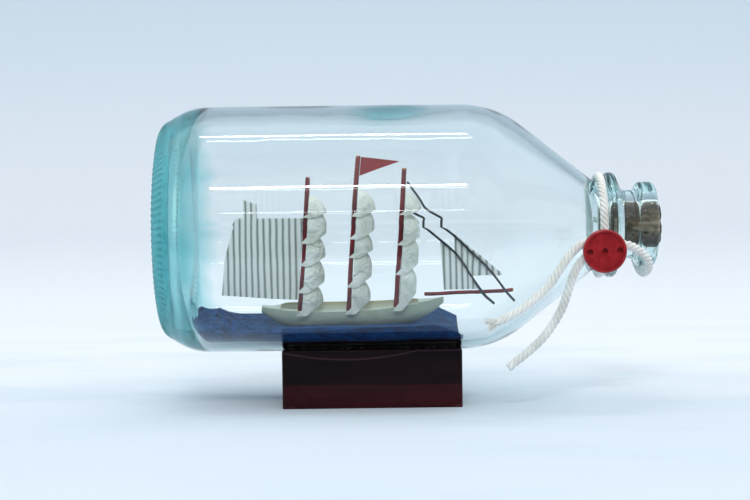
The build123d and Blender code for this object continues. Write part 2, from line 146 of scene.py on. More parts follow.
class Finish(Nodes):
    """A material on one Principled shader, whose varying sockets are fed by fields."""

    def __init__(self, name, **constants):
        self.material = bpy.data.materials.new(name)
        self.material.use_nodes = True
        super().__init__(self.material.node_tree)
        self.shader = self.tree.nodes["Principled BSDF"]
        self.output = self.tree.nodes["Material Output"]
        for key, value in constants.items():
            self.shader.inputs[key.replace("_", " ")].default_value = value

    def place(self, stretch=(1, 1, 1)):
        """Object coordinates in metres, stretched by a factor along each axis."""
        here = self.node("ShaderNodeTexCoord", out="Object")
        return self.node("ShaderNodeMapping", {"Vector": here, "Scale": stretch})

    def along(self, axis):
        """One object coordinate, in metres."""
        return self.node("ShaderNodeSeparateXYZ", {0: self.place()}, axis)

    def drawn(self, attribute):
        """A value that the mesh carries on its points."""
        return self.node("ShaderNodeAttribute", out="Fac", attribute_name=attribute)

    def cloud(self, scale, detail=3.0, roughness=0.5, place=None, warp=0.0):
        """Soft noise, about 0.5 in the middle, with lumps of 1 / scale metres."""
        values = {"Vector": place or self.place(), "Scale": scale, "Detail": detail}
        values |= {"Roughness": roughness, "Distortion": warp}
        return self.node("ShaderNodeTexNoise", values)

    def feed(self, **fields):
        """Links fields to the shader's sockets."""
        for key, field in fields.items():
            self.tree.links.new(field.socket, self.shader.inputs[key.replace("_", " ")])
        return self

    def relief(self, height, depth):
        """Raises the surface by height times depth metres, as a bump."""
        return self.feed(Normal=self.node("ShaderNodeBump", {"Height": height, "Distance": depth}))


def skin(name, grids, finish, around=False, along=False, marks=None, smooth=True):
    """A mesh over one or more grids of points (rows, columns, 3), in metres: each face joins four
    neighbours.

    around joins the last column to the first and along the last row to the first. Points that meet
    are merged, so a row drawn in to one point closes an end. A closed skin whose volume, the sum of
    corner products p0 . (p1 x p2) over its faces, comes out negative is turned inside out. marks
    are values carried on the points."""
    grids = grids if isinstance(grids, list) else [grids]
    points, faces, start = [], [], 0
    for grid in grids:
        rows, columns = grid.shape[:2]
        index = np.arange(rows * columns).reshape(rows, columns) + start
        if around:
            index = np.hstack([index, index[:, :1]])
        if along:
            index = np.vstack([index, index[:1]])
        corners = (index[:-1, :-1], index[:-1, 1:], index[1:, 1:], index[1:, :-1])
        faces.append(np.stack(corners, -1).reshape(-1, 4))
        points.append(grid.reshape(-1, 3))
        start += rows * columns
    points, faces = np.concatenate(points), np.concatenate(faces)
    if around:
        a, b, c, d = (points[faces[:, corner]] for corner in range(4))
        volume = (a * np.cross(b, c)).sum() + (a * np.cross(c, d)).sum()
        faces = faces[:, ::-1] if volume < 0 else faces
    mesh = bpy.data.meshes.new(name)
    mesh.from_pydata(points, [], faces.tolist())
    for mark, values in (marks or {}).items():
        layer = mesh.attributes.new(mark, "FLOAT", "POINT")
        layer.data.foreach_set("value", np.ravel(values).astype(np.float32))
    work = bmesh.new()
    work.from_mesh(mesh)
    bmesh.ops.remove_doubles(work, verts=work.verts, dist=1e-7)
    work.to_mesh(mesh)
    work.free()
    mesh.polygons.foreach_set("use_smooth", [smooth] * len(mesh.polygons))
    mesh.materials.append(finish.material)
    piece = bpy.data.objects.new(name, mesh)
    bpy.context.collection.objects.link(piece)
    return piece


table = Finish("pale_paper", Roughness=0.8, Specular_IOR_Level=0.1)
height, away = table.along("Z"), table.along("Y")
smudges = table.cloud(26.0, 4.0, 0.6, table.place((0.3, 1.0, 1.0))).between(0.4, 0.75) * 0.7
# Painted light: the paper is paler at the foot of the sweep and a deeper blue higher up.
painted_light_by_height = table.mixed(height.between(0.0, 0.22), tint(231, 238, 245), tint(218, 233, 245))
# Painted shade: the paper darkens towards its near edge.
near = table.mixed(away.between(0.12, -0.1), painted_light_by_height, tint(210, 221, 231))
smudged = table.mixed(smudges * away.between(0.3, 0.0), near, tint(202, 216, 228))
table.feed(Base_Color=smudged)

# The paper is flat from its near edge to the bend, then a quarter circle, then upright.
near_edge, bend_start, bend_radius, paper_top, half_width = -0.135, 0.8, 0.5, 2.2, 1.6
bend = np.linspace(0, np.pi / 2, 24)
bend_depths = bend_start + bend_radius * np.sin(bend)
depths = np.concatenate([[near_edge], bend_depths, [bend_start + bend_radius]])
rises = np.concatenate([[0], bend_radius - bend_radius * np.cos(bend), [paper_top]])
widths = np.linspace(-half_width, half_width, 9)
backdrop = np.stack(np.broadcast_arrays(widths, depths[:, None], rises[:, None]), -1)
skin("paper_sweep", backdrop, table)

# The room is bright above and behind the bottle and dark in front. Light that has passed through
# the glass meets a paler dark end, because thick glass gathers light from all round it.
bpy.context.scene.view_settings.view_transform = "Standard"
room = bpy.data.worlds.new("room")
room.use_nodes = True
bpy.context.scene.world = room
light = Nodes(room.node_tree)
direction = light.node("ShaderNodeTexCoord", out="Generated")
ahead, up = (light.node("ShaderNodeSeparateXYZ", {0: direction}, axis) for axis in "YZ")
bright_share = (ahead * 0.75 + up).between(-0.75, 0.2)
through_glass = light.node("ShaderNodeLightPath", out="Is Transmission Ray")
dark_end = light.mixed(through_glass, (0.04, 0.042, 0.045, 1), (0.42, 0.56, 0.60, 1))
room_light = light.mixed(bright_share, dark_end, (1.15, 1.16, 1.18, 1))
room.node_tree.links.new(room_light.socket, room.node_tree.nodes["Background"].inputs["Color"])


def tube_light(name, place, length, width, power):
    """A narrow lamp along X at a place, facing a line 50 mm above the table under it."""
    lamp = bpy.data.lights.new(name, "AREA")
    lamp.shape, lamp.size, lamp.size_y, lamp.energy = "RECTANGLE", length, width, power
    lamp.color = (0.97, 0.985, 1.0)
    held = bpy.data.objects.new(name, lamp)
    held.location = place
    side, back = Vector((1, 0, 0)), Vector((0, place[1], place[2] - 50 * mm)).normalized()
    held.rotation_euler = Matrix((side, back.cross(side), back)).transposed().to_euler()
    bpy.context.collection.objects.link(held)


tube_light("tube_above", (-0.030, 0.098, 0.85), 0.25, 0.026, 0.6)
tube_light("tube_in_front", (-0.036, -0.755, 0.706), 0.25, 0.020, 2.4)
tube_light("tube_low", (-0.03, -0.951, 0.359), 0.24, 0.007, 0.12)

# The camera looks down by its slope at a point in the bottle, rolled a little, through a long lens.
slope, roll, distance, lens = np.radians(4.0), 0.0126, 0.473, 79.2
looked_at = Vector((-0.0105, 0, 0.0436))
forward = Vector((0, np.cos(slope), -np.sin(slope)))
level, upright = Vector((1, 0, 0)), Vector((0, np.sin(slope), np.cos(slope)))
rolled = (level - roll * upright).normalized(), (upright + roll * level).normalized()
camera = bpy.data.objects.new("camera", bpy.data.cameras.new("camera"))
camera.data.lens = lens
held_at = Matrix.Translation(looked_at - distance * forward)
camera.matrix_world = held_at @ Matrix((*rolled, -forward)).transposed().to_4x4()
bpy.context.collection.objects.link(camera)
bpy.context.scene.camera = camera

# ------------------------------------------------------------------ wooden block
# A hardwood block under many coats of dark maroon lacquer, with a shallow cradle sawn along its
# top. The lacquer is glossy and is rubbed thin on its corners. Its front face has painted
# reflections: a dark band of the room over a paler band of the floor, and a pale curved line
# below the front edge, the painted reflection of the bottle.
lacquer = Finish("maroon_lacquer", Coat_Roughness=0.04, Coat_IOR=1.4, Specular_IOR_Level=0.05)
(left, front, foot), (_, _, top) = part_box("cradle_block")
# Painted reflection of the bottle: a pale line just below the front edge that curves down towards
# the middle.
reflection_middle, reflection_reach, reflection_dip = left + 18.5 * mm, 19.5 * mm, 2.4 * mm
reflection_band_top = foot + 7.0 * mm
x, y, z = (lacquer.along(axis) for axis in "XYZ")
grain = lacquer.cloud(60.0, 5.0, 0.6, lacquer.place((0.35, 4.0, 4.0)))
mottle = lacquer.cloud(90.0, 3.0)
on_front = (y - front).between(2.2 * mm, 0.4 * mm)
dip = 1 - ((x - reflection_middle) / reflection_reach) ** 2.0
reflection_curve = top - 0.4 * mm - reflection_dip * dip.most(0.0)
bottle_reflection_line = (z - reflection_curve).size().between(0.45 * mm, 0.0) * on_front
rubbed = (z - (foot + 0.5 * mm)).size().between(0.6 * mm, 0.0) * mottle.between(0.5, 0.7)
# Painted reflections: the lacquer is darker above a line 7 mm over the foot, for the room, and
# paler below it, for the floor.
upper = lacquer.mixed(grain.between(0.38, 0.66), tint(12, 2, 6), tint(24, 5, 10))
lower = lacquer.mixed(grain.between(0.3, 0.7), tint(36, 8, 13), tint(54, 14, 20))
lacquer_and_painted_reflections = lacquer.mixed(z.between(reflection_band_top, reflection_band_top - 0.8 * mm), upper, lower)
lacquer_and_painted_reflections = lacquer.mixed(bottle_reflection_line * 0.6, lacquer_and_painted_reflections, tint(74, 46, 58))
lacquer.feed(Base_Color=lacquer.mixed(rubbed * 0.6, lacquer_and_painted_reflections, tint(110, 62, 58)))
lacquer.feed(Roughness=0.2 + 0.2 * mottle + 0.2 * rubbed, Coat_Weight=0.16 - 0.1 * rubbed)
lacquer.relief(grain * 0.35 + bottle_reflection_line * 2.2 + mottle * 0.25, 0.12 * mm)


def dress(node, finish):
    """Gives a CAD node's own mesh a finish."""
    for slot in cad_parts[node].material_slots:
        slot.material = finish.material


dress("cradle_block", lacquer)

# ------------------------------------------------------------------ glue
# A thin bed of clear glue between the cradle and the bottle holds the bottle down. It has yellowed
# a little and has fine bubbles.
glue = Finish("clear_glue", IOR=1.45, Transmission_Weight=0.35)
bubbles = glue.cloud(900.0, 2.0).between(0.55, 0.7)
glue.feed(Base_Color=glue.mixed(bubbles, tint(120, 96, 88), tint(176, 160, 142)))
glue.feed(Roughness=0.2 + 0.4 * bubbles).relief(bubbles, 0.1 * mm)
dress("cradle_glue", glue)

# ------------------------------------------------------------------ bottle
# A blown bottle of pale aqua glass: thick in the base, where the colour gathers, with a knurled
# ring round the heel, a collar and a rounded lip. Its inside wall is slightly uneven, and it lies
# on its side in the glue.
low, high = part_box("glass_bottle")
base, axis = low[0] / mm, (low[2] + high[2]) / 2 / mm
heel_end, floor, mouth = 13, 5.5, 140
body_radius, inner_radius, inner_heel, floor_radius, bore = 35, 32.5, 8.0, 23.0, 6.6
neck_radius, collar_radius, groove_radius, lip_radius = 12.6, 15.0, 9.9, 12.2


def rounded(corners, step):
    """A line through (station, radius, curve) corners. Each is replaced by an arc of its curve
    radius, which starts curve * tan(turn / 2) before the corner and sweeps round by the turn. An
    arc takes steps of this many degrees, or finer ones where it is large."""
    spots = [np.array(corners[0][:2], float)]
    for before, corner, after in zip(corners, corners[1:], corners[2:]):
        here, curve = np.array(corner[:2], float), corner[2]
        into, out = here - np.array(before[:2], float), np.array(after[:2], float) - here
        into, out = into / np.hypot(*into), out / np.hypot(*out)
        cross = into[0] * out[1] - into[1] * out[0]
        turn, side = np.arctan2(abs(cross), into @ out), np.sign(cross)
        start = here - into * curve * np.tan(turn / 2)
        centre = start + side * curve * np.array([-into[1], into[0]])
        x, r = start - centre
        parts = int(np.degrees(turn) / min(step, 60 / max(curve, 1))) + 1
        angle = side * np.linspace(0, turn, max(2, parts))
        cos, sin = np.cos(angle), np.sin(angle)
        spots.extend(centre + np.stack([x * cos - r * sin, x * sin + r * cos], -1))
    spots.append(np.array(corners[-1][:2], float))
    return np.array(spots)


def filled_in(line, gap):
    """The same line with points added along its straight runs, no further apart than gap."""
    parts = np.ceil(np.hypot(*np.diff(line, axis=0).T) / gap).astype(int).clip(1)
    runs = [a + (b - a) * np.arange(n)[:, None] / n for a, b, n in zip(line, line[1:], parts)]
    return np.concatenate([*runs, line[-1:]])


def dome(station, width, rise):
    """Points of a shallow bowl, an arc from its rim, width from the axis, to its middle, rise
    further on. The arc's radius is (width squared + rise squared) / (2 rise)."""
    radius = (width**2 + rise**2) / (2 * rise)
    angle = np.linspace(np.arcsin(width / radius), 0, 9)
    return np.stack([station + rise - radius + radius * np.cos(angle), radius * np.sin(angle)], -1)


heel_radius, heel_start = 16.25, np.arctan2(9.75, -13)
knurled = np.linspace(heel_start, heel_start - 0.3, 14)
heel_angle = np.concatenate([knurled, np.linspace(heel_start - 0.34, np.pi / 2, 12)])
heel = heel_radius * np.stack([np.cos(heel_angle), np.sin(heel_angle)], -1)
heel = heel + (heel_end, body_radius - heel_radius)
outer = rounded(
    [
        (heel_end, body_radius, 0),
        (94.34, body_radius, 28),
        (122.6, neck_radius, 2.0),
        (125.7, neck_radius, 0.5),
        (125.7, collar_radius, 1.1),
        (128.3, collar_radius, 1.3),
        (130.6, groove_radius, 1.6),
        (134.6, groove_radius, 0.6),
        (134.6, lip_radius, 1.5),
        (mouth, lip_radius, 1.6),
        (mouth, 8.0, 0),
    ],
    14,
)
inner = rounded(
    [
        (mouth, 8.0, 0),
        (mouth, 6.95, 0.35),
        (139.0, bore, 0.7),
        (126.15, bore, 5.0),
        (93.46, inner_radius, 25.5),
        (floor, inner_radius, inner_heel),
        (floor, floor_radius, 0),
    ],
    9,
)
outside = [dome(0, 24.0, 4.5)[::-1], heel, filled_in(outer, 8.0)[1:]]
hollow = [filled_in(inner, 5.0)[1:], dome(floor, floor_radius, 2.6)[1:]]
wall_line = np.concatenate([*outside, *hollow])

# The wall is its line carried round the axis. Inside it wavers by low sines of station and angle
# and is drawn in under the lump on top. Outside it swells likewise, has a narrow bell for the mould
# seam, and the bars of the knurled ring are the upper halves of a sine, faded along by a bell.
bar_count, bar_height, bar_step, band_middle, band_width = 104, 0.3, 0.32, 1.1, 1.25
seam_height, seam_width, lump_length, lump_width = 0.07, 0.016, 5.5, 0.21
angle = np.linspace(0, 2 * np.pi, 520, endpoint=False)
station, radius = wall_line[:, :1], wall_line[:, 1:]
inside = np.arange(len(wall_line))[:, None] >= sum(map(len, outside))
wavy = 0.05 * np.sin(0.23 * station + 2 * angle) + 0.04 * np.sin(0.41 * station - 3 * angle + 1)
wavy = wavy + 0.03 * np.sin(5 * angle + 0.11 * station) + 0.02 * np.sin(0.9 * station + 7 * angle)
swell = 0.06 * np.sin(2 * angle + 0.05 * station + 2.4) + 0.02 * np.sin(3 * angle - 0.16 * station)
mould_seam = seam_height * np.exp(-((np.sin(angle - 0.08) / seam_width) ** 2))
lump_station = 64.5 + 9 * (angle - 1.3)
off_lump = ((station - lump_station) / lump_length) ** 2 + ((angle - 1.34) / lump_width) ** 2
lump = np.exp(-off_lump)
bars = np.clip(np.sin(bar_count * angle), 0, 1) ** 0.7
band = np.exp(-(((station - band_middle) / band_width) ** 2)) * ~inside * (radius > 27.5)
# Painted shade: dark dots at both ends of each knurl bar.
edges = sum(np.exp(-(((station - edge) / 0.4) ** 2)) for edge in (0.25, 2.7))
rib_end_shade = bars * edges * (band > 0)
on_body = np.clip((radius - 20) / 8, 0, 1)
radius = radius - on_body * inside * (station > 6) * (wavy + 0.5 * lump) + bar_height * bars * band
radius = radius + on_body * ~inside * (station > 4) * (swell + mould_seam - 0.08)
lengthwise = base + station - bar_step * bars * band
wall = (lengthwise, -radius * np.cos(angle), axis + radius * np.sin(angle))
glass_skin = np.stack(np.broadcast_arrays(*wall), -1)

# The colour gathers where the glass is thick: it fades over the first stations, with an uneven
# edge, and is full in the lump and on the inner floor.
edge_waver = 1 + 0.12 * np.sin(9 * angle) + 0.08 * np.sin(23 * angle)
gathers = np.clip(1.35 - station / 8.5 * edge_waver, 0, 1)
inner_floor = 1.0 * inside * (station < 8.4) * (radius < 26)
gathers = np.clip(gathers + 1.6 * lump * (radius > 20) + inner_floor, 0, 1)

glass = Finish(
    "aqua_glass", Base_Color=(1, 1, 1, 1), IOR=1.43, Transmission_Weight=1.0, Roughness=0.0
)
thick = glass.drawn("colour_gathers")
teal = glass.mixed(thick, (1.0, 1.0, 1.0, 1), (0.42, 0.80, 0.82, 1))
# The knurl bar ends are painted almost black as shade.
glass.feed(Base_Color=glass.mixed(glass.drawn("rib_end_shade"), teal, (0.02, 0.13, 0.15, 1)))
in_shadow, in_bounce = (
    glass.node("ShaderNodeLightPath", out=kind) for kind in ("Is Shadow Ray", "Is Diffuse Ray")
)
clear = glass.node("ShaderNodeBsdfTransparent", {"Color": (0.88, 0.91, 0.92, 1)})
aqua = glass.node("ShaderNodeBsdfTransparent", {"Color": (0.42, 0.76, 0.79, 1)})
blown = Field(glass, glass.shader.outputs[0])
body = glass.node("ShaderNodeMixShader", {0: 0.25 * thick, 1: blown, 2: aqua})
surface = glass.node("ShaderNodeMixShader", {0: in_shadow.most(in_bounce), 1: body, 2: clear})
absorbed = {"Color": (0.0, 0.68, 0.69, 1), "Density": 24.0}
volume = glass.node("ShaderNodeVolumeAbsorption", absorbed)
glass.tree.links.new(surface.socket, glass.output.inputs["Surface"])
glass.tree.links.new(volume.socket, glass.output.inputs["Volume"])
marks = {"colour_gathers": gathers, "rib_end_shade": rib_end_shade}
bottle = skin("glass_bottle_blown", glass_skin * mm, glass, around=True, marks=marks)
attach(bottle, "bottle")
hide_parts("glass_bottle")

# ------------------------------------------------------------------ clay sea
# Blue modelling clay pressed into the bottle through its mouth and along the glass. Its top is
# hollow along the middle; behind the ship it stands higher and is torn into lumps and furrows by
# the tool.
low, high = (np.array(corner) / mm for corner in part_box("clay_sea"))
(stern, _, keel), _ = (np.array(corner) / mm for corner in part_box("ship_hull"))
hull_length, widest, half_breadth, flat_from, flat_to = 52, 19.8, 4.8, 10.9, 32


def ripples(chance, x, y, pitch):
    """A sum of sine waves of about this pitch that run in random directions, mostly from -1 to 1:
    it is divided by the root of their number."""
    waves, total = 7, 0
    for turn, shift, stretch in chance.uniform((0, 0, 0.7), (np.pi, 2 * np.pi, 1.5), (waves, 3)):
        wave = (x * np.cos(turn) + y * np.sin(turn)) * 2 * np.pi / pitch
        total = total + np.sin(wave * stretch + shift)
    return total / (0.7 * waves**0.5)


def half_beam(s):
    """Half the width of the hull at its edge, s from the stern: full where it is widest and
    narrower by powers of the way from there to each end."""
    aft = half_breadth - 2.4 * (np.clip(widest - s, 0, None) / widest) ** 2.2
    ahead = (np.clip(s - widest, 0, None) / (hull_length - widest)) ** 2.8
    return np.where(s < widest, aft, half_breadth * (1 - ahead) + 0.3 * ahead)


def rocker(s):
    """Height of the hull's lowest line over the keel: it climbs by powers of the way from the flat
    middle towards each end."""
    aft = 5.2 * (np.clip(flat_from - s, 0, None) / flat_from) ** 1.5
    return aft + 7.6 * (np.clip(s - flat_to, 0, None) / (hull_length - flat_to)) ** 2.5


# Along x and across, the underside is the glass wall, a circle round the axis that shrinks over
# the heel's arc, and the top is a shallow parabola that climbs to the edges by the eighth power.
# Ripples, furrows where a ripple crosses 0, and a bed for the hull are cut into it, and both ends
# are drawn in to the wall by a quarter circle.
clearance, torn_from, torn_length = 0.12, -38, 12
surface_drop, hollow_depth, half_span, fore_fall = 27.5, 2.5, 20.15, 3.2
chance = np.random.default_rng(11)
clay_x = np.linspace(low[0] - 1.2, high[0], 190)[:, None]
across = np.sin(np.linspace(-1, 1, 150) * np.pi / 2)[None]
into_heel = np.clip(floor + inner_heel - (clay_x - base), 0, inner_heel - 0.1)
heel_arc = np.sqrt(inner_heel**2 - into_heel**2) - 0.09 * into_heel
wall_radius = inner_radius - inner_heel + heel_arc - clearance
torn = np.clip((torn_from - clay_x) / torn_length, 0, 1) ** 1.3
edge_stations = [-63, -57, -51, -43, -15, 6, 14]
edge_drops = [-25.2, -25.9, -26.9, -26.7, -25.6, -24.7, -28.2]
edge_height = axis + np.interp(clay_x, edge_stations, edge_drops)
clay_y = across * np.sqrt(wall_radius**2 - (edge_height - axis) ** 2)
falling = np.clip((clay_x - 5) / 9, 0, 1) ** 2
top = axis - surface_drop + hollow_depth * (clay_y / half_span) ** 2 - fore_fall * falling
top = np.minimum(top + 1.2 * torn, edge_height + 0.2) + (edge_height - top) * across**8
furrow = np.exp(-((ripples(chance, clay_x, clay_y, 11.0) / 0.16) ** 2))
furrow = furrow + 0.6 * np.exp(-((ripples(chance, clay_x, clay_y, 6.5) / 0.2) ** 2))
crease = np.clip(furrow, 0, 1) * np.clip(torn * 1.5, 0, 1) * (1 - across**10)
fine = ripples(chance, clay_x, clay_y, 8.0) * (0.08 + 0.3 * torn)
fine = fine + ripples(chance, clay_x, clay_y, 3.1) * (0.03 + 0.14 * torn)
top = top + (fine - 0.85 * crease) * (1 - across**10)
past_stern = clay_x - stern
beside = np.clip(np.abs(clay_y) / np.maximum(half_beam(past_stern), 0.1), 0, 1)
bed = keel + rocker(past_stern) - 0.15 + 4.5 * beside**6
under_hull = (beside < 1) & (past_stern > 1) & (past_stern < 51)
top = np.where(under_hull, np.minimum(top, bed), top)
bottom = axis - np.sqrt(np.clip(wall_radius**2 - clay_y**2, 0, None))
from_ends = np.minimum((clay_x - clay_x[0]) / 2.2, clay_x[-1] - clay_x).clip(0, 1)
top = bottom + np.clip(top - bottom, 0, None) * np.sqrt(1 - (1 - from_ends) ** 2)
round_it = np.concatenate([top, bottom[:, -2:0:-1]], 1)
clay_y = np.concatenate([clay_y, clay_y[:, -2:0:-1]], 1)
crease = np.concatenate([crease, 0 * crease[:, -2:0:-1]], 1)
clay_skin = np.stack([clay_x + 0 * clay_y, clay_y, round_it], -1)

clay = Finish("blue_clay", Specular_IOR_Level=0.04)
folds = clay.cloud(220.0, 6.0, 0.62, warp=1.2)
lumps = clay.cloud(70.0, 3.0, 0.5)
blue = clay.mixed(folds.between(0.34, 0.66), tint(0, 30, 74), tint(4, 74, 134))
blue = clay.mixed(lumps.between(0.35, 0.7) * 0.5, blue, tint(8, 74, 124))
# Painted shade: the furrows cut into the clay are painted dark.
clay.feed(Base_Color=clay.mixed(clay.drawn("crease") * 0.9, blue, tint(6, 12, 34)))
clay.feed(Roughness=0.45 + 0.25 * lumps).relief(folds + 0.6 * lumps, 0.5 * mm)
piece = skin("clay_sea_pressed", clay_skin * mm, clay, around=True, marks={"crease": crease})
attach(piece, "bottle")
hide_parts("clay_sea")

# ------------------------------------------------------------------ hull
# A carved wooden hull, painted a greyed cream with green-grey sides, with shade painted on the
# sides so that they darken towards the keel. It is pressed into the clay and leans a little to the
# near side, so that its deck and the beige inside of its far bulwark show.

# Each section of the hull is a quarter wave on either side, cosine to a power across and sine to
# the same power down, from an edge that climbs by the square of the way from its lowest point. The
# far edge stands higher. Between the well's ends the section goes on inwards over the planks and
# down to the deck.
well_start, well_end, well_depth, lowest = 5.5, 44.8, 0.45, 20.8
lowest_edge, stern_rise, bow_rise, far_rise, fullness = 5.8, 1.4, 3.4, 1.5, 0.75
at_well_start, at_well_end = [5.6, 5.8], [44.7, 44.9]
aft_part, middle_part = np.linspace(0, 5.4, 12), np.linspace(6.2, 44.4, 70)
fore_part = np.linspace(45.4, hull_length, 16)
s = np.concatenate([aft_part, at_well_start, middle_part, at_well_end, fore_part])[:, None]
from_lowest = np.where(s < lowest, (lowest - s) / lowest, (s - lowest) / (hull_length - lowest))
sheer = lowest_edge + np.where(s < lowest, stern_rise, bow_rise) * from_lowest**2
low_line, beam = rocker(s), half_beam(s)
well = ((s > well_start) & (s < well_end)).astype(float)
raised = far_rise * np.clip(beam / half_breadth, 0, 1) ** 1.5
raised = raised * np.clip((s - 3) / 4, 0, 1) * np.clip((50 - s) / 6, 0, 1)
near_top, far_top = sheer - 0.2 * well, sheer + raised
quarter = np.linspace(0, np.pi / 2, 22)[None]
out_share, down_share = np.cos(quarter) ** fullness, np.sin(quarter) ** fullness
near_y, near_z = -beam * out_share, near_top - (near_top - low_line) * down_share
far_y, far_z = beam * out_share, far_top - (far_top - low_line) * down_share
plank = np.minimum(0.5, 0.35 * beam)
deck, deck_edge, rim = near_top - well_depth * well, beam - plank, beam - 0.3 * plank
far_side, near_side = [rim, deck_edge, deck_edge - 0.06], [0.06 - deck_edge, -deck_edge, -rim]
far_foot = deck + (far_top - deck) * (1 - well)
inside_z = [far_top + 0.05, far_top, far_foot, deck, near_top, near_top + 0.05]
hull_y = np.hstack([near_y, far_y[:, -2::-1], *far_side, *near_side])
hull_z = np.hstack([near_z, far_z[:, -2::-1], *inside_z])
within = np.arange(hull_y.shape[1]) >= 2 * quarter.size - 1
on_deck = np.broadcast_to(within * 1.0, hull_y.shape)
bulwark = within * (hull_y > 0) * well * (hull_z > deck + 0.1)
hull_skin = np.stack([stern + s + 0 * hull_y, hull_y, keel + hull_z], -1)
closed = [0 * end + end.mean(1, keepdims=True) for end in (hull_skin[:1], hull_skin[-1:])]
hull_skin = np.concatenate([closed[0], hull_skin, closed[1]])
one_more = ((1, 1), (0, 0))
marks = {"deck": np.pad(on_deck, one_more), "bulwark": np.pad(bulwark, one_more)}

paint = Finish("hull_paint", Specular_IOR_Level=0.35)
(_, _, low_edge), (_, _, high_edge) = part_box("ship_hull")
strokes = paint.cloud(240.0, 4.0, 0.6, paint.place((0.25, 1.5, 1.5)))
stain = paint.cloud(120.0, 3.0)
side_height = (paint.along("Z") - low_edge) / (high_edge - low_edge)
# Painted shade: the sides go from the pale paint at the top to a dark green-grey near the keel.
shade = paint.mixed(side_height.between(0.0, 0.6), tint(44, 56, 58), tint(178, 188, 170))
shade = paint.mixed(strokes.between(0.42, 0.7) * 0.4, shade, tint(200, 204, 182))
shade = paint.mixed(stain.between(0.6, 0.8) * 0.35, shade, tint(150, 140, 104))
shade = paint.mixed(paint.drawn("deck"), shade, tint(214, 218, 204))
paint.feed(Base_Color=paint.mixed(paint.drawn("bulwark") * 0.8, shade, tint(186, 172, 122)))
paint.feed(Roughness=0.45 + 0.2 * stain).relief(strokes + 0.4 * stain, 0.18 * mm)
piece = skin("ship_hull_carved", hull_skin * mm, paint, around=True, marks=marks, smooth=False)
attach(piece, "bottle")
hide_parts("ship_hull")

# ------------------------------------------------------------------ masts and bowsprit
# Thin sticks of wood with rounded ends. The masts stand in sockets in the deck and the bowsprit in
# a seat on the bow. They are painted dark red by hand; the coat is thin in places and worn off the
# tips.
spar_red = Finish("spar_red", Specular_IOR_Level=0.15)
streaks = spar_red.cloud(420.0, 4.0, 0.6, spar_red.place((1.0, 1.0, 0.25)))
worn = spar_red.drawn("worn_end") * spar_red.cloud(500.0).between(0.4, 0.55)
red = spar_red.mixed(streaks.between(0.35, 0.72), tint(92, 0, 12), tint(140, 8, 24))
spar_red.feed(Base_Color=spar_red.mixed(worn, red, tint(190, 130, 84)))
spar_red.feed(Roughness=0.38 + 0.25 * streaks).relief(streaks, 0.12 * mm)

# A circle is carried from the foot to the head along a line that bows by a sine of its share. Its
# radius wavers by two sines and follows a quarter circle at each end.
mast_rake, bowsprit_rake = np.array([0.9974, 0, 0.0715]), np.array([0.0314, 0, 0.9995])
share = np.sin(np.linspace(-1, 1, 110) * np.pi / 2)[:, None] * 0.5 + 0.5
turn = np.linspace(0, 2 * np.pi, 28, endpoint=False)[None]
sideways = np.array([0, 1.0, 0])
for node in ("mizzen_mast", "main_mast", "fore_mast", "bowsprit"):
    low, high = (np.array(corner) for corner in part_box(node))
    spar_radius = (high[1] - low[1]) / 2
    inset = spar_radius * (bowsprit_rake if node == "bowsprit" else mast_rake)
    foot = np.array([low[0] + inset[0], 0, low[2] + inset[2]])
    head = np.array([high[0] - inset[0], 0, high[2] - inset[2]])
    length = np.linalg.norm(head - foot)
    ahead = np.cross(sideways, (head - foot) / length)
    bent = 0.09 * mm * np.sin(9.1 * share + len(node)) * np.sin(np.pi * share)
    from_tip = np.minimum(share, 1 - share) * length / (0.35 * spar_radius)
    waver = 0.035 * np.sin(17 * share + turn) + 0.025 * np.sin(31 * share - 2 * turn)
    girth = spar_radius * (0.96 + waver) * np.sqrt(1 - (1 - np.clip(from_tip, 0, 1)) ** 2)
    middle = foot + (head - foot) * share + bent * ahead
    spokes = np.sin(turn)[..., None] * sideways + np.cos(turn)[..., None] * ahead
    stick = middle[:, None] + girth[..., None] * spokes
    marks = {"worn_end": np.broadcast_to(share > 0.985, girth.shape) * 1.0}
    piece = skin(f"{node}_stick", stick, spar_red, around=True, marks=marks)
    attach(piece, "bottle")
    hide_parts(node)

# ------------------------------------------------------------------ bellied sails
# Cups of cream paper, pressed to shape and creased by it, one above another on each mast. They are
# glued at the crown with their open side aft.
cream = Finish("cream_paper", Specular_IOR_Level=0.25)
fibres = cream.cloud(900.0, 4.0, 0.6)
shade = cream.cloud(180.0, 2.0)
crumpled = cream.cloud(210.0, 2.0, 0.45, warp=1.5)
cream_tone = cream.mixed(shade.between(0.35, 0.7), tint(226, 228, 216), tint(248, 248, 242))
cream.feed(Base_Color=cream_tone)
cream.feed(Roughness=0.7 + 0.15 * fibres).relief(0.1 * fibres + crumpled, 1.4 * mm)
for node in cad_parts:
    if "_sail_" in node:
        dress(node, cream)

# ------------------------------------------------------------------ striped sails
# The spanker and the two jibs are flat pieces of cream paper ruled with thin grey lines, cut out
# and glued by their edges to the spars and threads that hold them.
line_pitch, line_wander = 1.77 * mm, 1.1 * mm
ruled = Finish("ruled_paper", Specular_IOR_Level=0.25)
fibres = ruled.cloud(900.0, 4.0, 0.6)
wander = ruled.cloud(90.0, 2.0, 0.5, ruled.place((1, 1, 0.6)))
across_line = ((ruled.along("X") + line_wander * wander) / line_pitch).part()
line = (across_line - 0.5).size().between(0.32, 0.02)
ruled.feed(Base_Color=ruled.mixed(line * 0.9, tint(253, 254, 250), tint(118, 128, 120)))
ruled.feed(Roughness=0.7 + 0.15 * fibres).relief(fibres + line, 0.1 * mm)
for node in ("spanker_sail", "outer_jib", "inner_jib"):
    dress(node, ruled)

